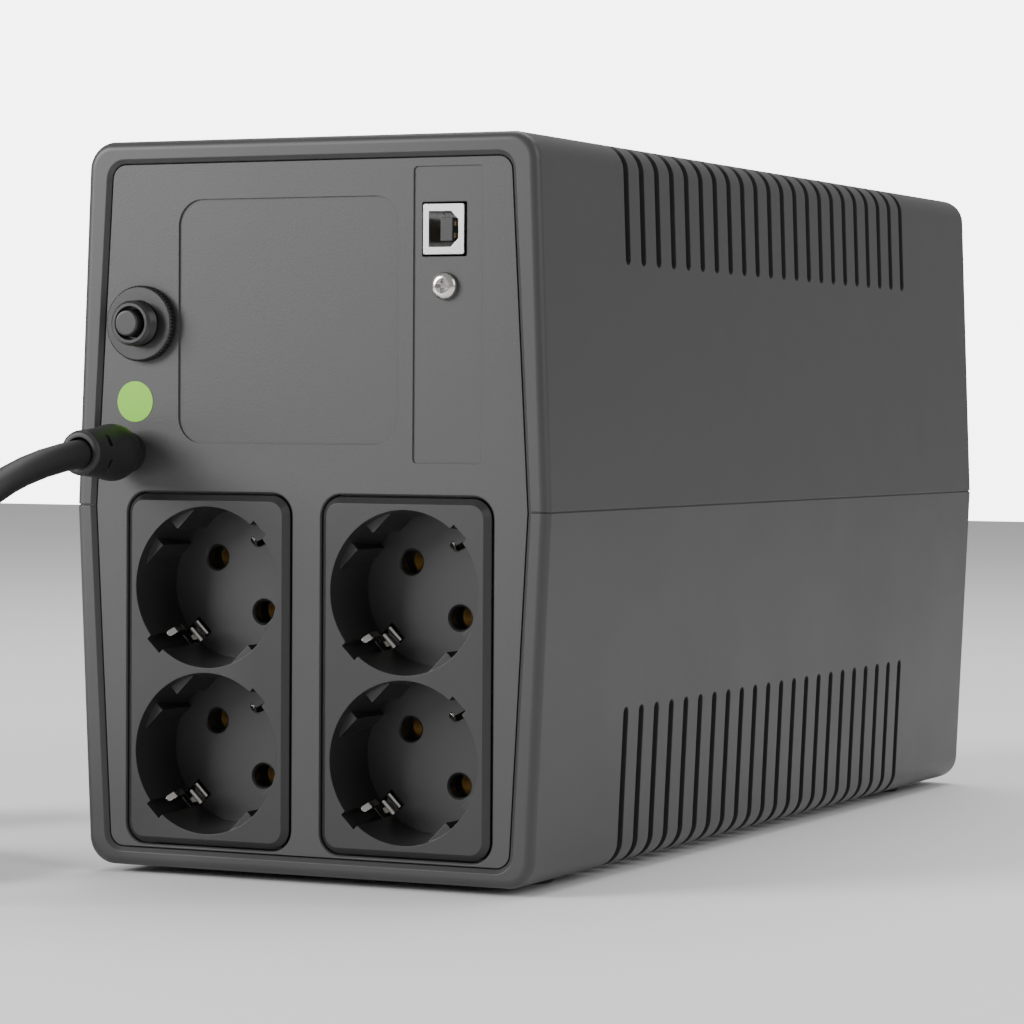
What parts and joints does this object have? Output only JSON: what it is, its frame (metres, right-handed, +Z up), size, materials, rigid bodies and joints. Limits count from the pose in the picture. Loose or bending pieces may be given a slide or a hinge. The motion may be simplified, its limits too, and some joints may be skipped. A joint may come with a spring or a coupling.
{
  "type": "uninterruptible power supply",
  "caption": "Desk-side uninterruptible power supply with earthed round outlets, a reset breaker, a data port, vented case and a coiled mains cord with plug.",
  "frame": {"origin": "on the floor under the middle of the case and of what stands out at its ends, without the free cord", "axes": "+Y along the case to the outlet end, +Z up, +X to the left of someone looking at the outlets"},
  "size_m": [0.2529, 0.4161, 0.182],
  "materials": {
    "case_plastic": "fine-grained satin",
    "front_plastic": "gloss",
    "panel_plastic": "fine-grained satin",
    "green_sticker": "satin",
    "black_rubber": "matte",
    "steel": "satin",
    "black_plastic": "satin",
    "inner_plastic": "matte",
    "brass": "satin",
    "nickel": "bright",
    "circuit_board": "lacquered",
    "gland_rubber": "matte",
    "cord_rubber": "matte",
    "battery_plastic": "satin",
    "foam": "matte",
    "iron_core": "varnished",
    "winding_tape": "satin",
    "aluminium": "satin",
    "relay_plastic": "gloss",
    "sleeve_plastic": "gloss",
    "fuse_glass": "clear",
    "window_glass": "gloss",
    "display_glass": "gloss",
    "button_plastic": "gloss",
    "lamp_plastic": "clear"
  },
  "bodies": {
    "case": {"batteries": "battery_plastic", "battery_pads": "foam", "battery_strap": "steel", "battery_terminals": "brass", "breaker_body": "black_plastic", "breaker_nut": "black_plastic", "breaker_tabs": "brass", "buzzer": "black_plastic", "capacitors": "sleeve_plastic", "case_screws": "steel", "comms_board": "circuit_board", "comms_bracket": "steel", "contact_cover_left": "inner_plastic", "contact_cover_right": "inner_plastic", "contact_housing_left": "inner_plastic", "contact_housing_right": "inner_plastic", "cord_coil": "cord_rubber", "cord_gland": "gland_rubber", "cord_tie": "black_plastic", "display": "display_glass", "display_window": "window_glass", "earth_springs_left": "nickel", "earth_springs_right": "nickel", "front_board": "circuit_board", "front_panel": "front_plastic", "fuse": "fuse_glass", "heat_sinks": "aluminium", "lower_shell": "case_plastic", "main_board": "circuit_board", "mains_cord": "cord_rubber", "outlet_frame_left": "black_plastic", "outlet_frame_right": "black_plastic", "outlet_screws": "steel", "pin_contacts_left": "brass", "pin_contacts_right": "brass", "plug_body": "gland_rubber", "plug_earth_strips": "nickel", "plug_pins": "nickel", "port_screw": "nickel", "power_switch": "black_plastic", "power_transistors": "black_plastic", "rear_panel": "panel_plastic", "relays": "relay_plastic", "rubber_feet": "black_rubber", "small_screws": "steel", "socket_floors_left": "black_plastic", "socket_floors_right": "black_plastic", "status_lamps": "lamp_plastic", "test_sticker": "green_sticker", "transformer_base": "steel", "transformer_bolts": "steel", "transformer_core": "iron_core", "transformer_windings": "winding_tape", "upper_shell": "case_plastic", "usb_contacts": "brass", "usb_shell": "steel", "usb_tongue": "black_plastic"},
    "breaker_reset": {"reset_plunger": "black_plastic"},
    "power_key": {"power_button": "button_plastic"}
  },
  "joints": [
    {"name": "breaker_reset_slide", "type": "slide", "parent": "case", "child": "breaker_reset", "axis": [0, 1, 0], "range_m": [0, 0.0035], "stiffness_N_per_m": 300},
    {"name": "power_key_slide", "type": "slide", "parent": "case", "child": "power_key", "axis": [0, 1, 0], "range_m": [0, 0.0015], "stiffness_N_per_m": 400}
  ]
}
